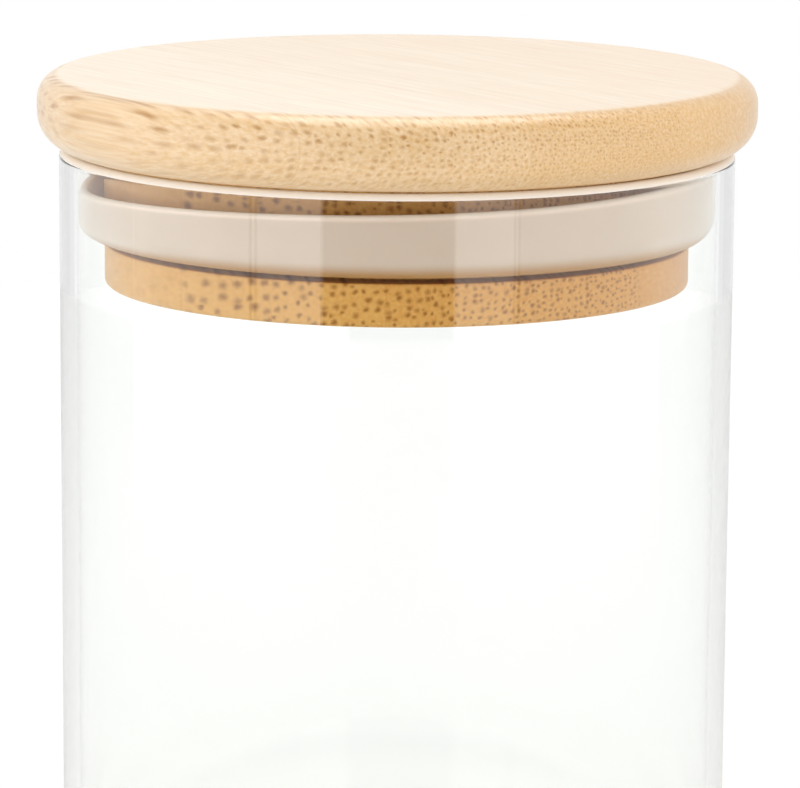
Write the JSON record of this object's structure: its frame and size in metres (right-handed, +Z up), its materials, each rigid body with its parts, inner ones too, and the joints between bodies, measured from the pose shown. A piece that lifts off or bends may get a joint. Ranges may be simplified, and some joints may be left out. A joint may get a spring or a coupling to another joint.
{
  "type": "glass storage jar",
  "caption": "Straight-sided round glass storage jar with a push-in bamboo lid; a grooved plug under the lid carries a silicone lip seal.",
  "frame": {"origin": "centre of the foot, on the surface that the jar stands on", "axes": "+Z up along the jar's axis; the picture looks along +Y, with +X to the right"},
  "size_m": [0.1, 0.1, 0.1303],
  "materials": {
    "clear_glass": "clear and smooth, with a ground rim",
    "bamboo_disc": "satin lacquered bamboo",
    "bamboo_plug": "satin lacquered bamboo",
    "silicone": "translucent satin silicone"
  },
  "bodies": {
    "jar": {"glass_body": "clear_glass"},
    "seal": {"silicone_seal": "silicone"},
    "lid": {"lid_disc": "bamboo_disc", "lid_plug": "bamboo_plug"}
  },
  "joints": [
    {"name": "lid_lift", "type": "slide", "parent": "jar", "child": "seal", "axis": [0, 0, 1], "range_m": [0, 0.08]},
    {"name": "lid_twist", "type": "hinge", "parent": "seal", "child": "lid", "pos_m": [0, 0, 0.1201], "axis": [0, 0, 1], "continuous": true}
  ]
}
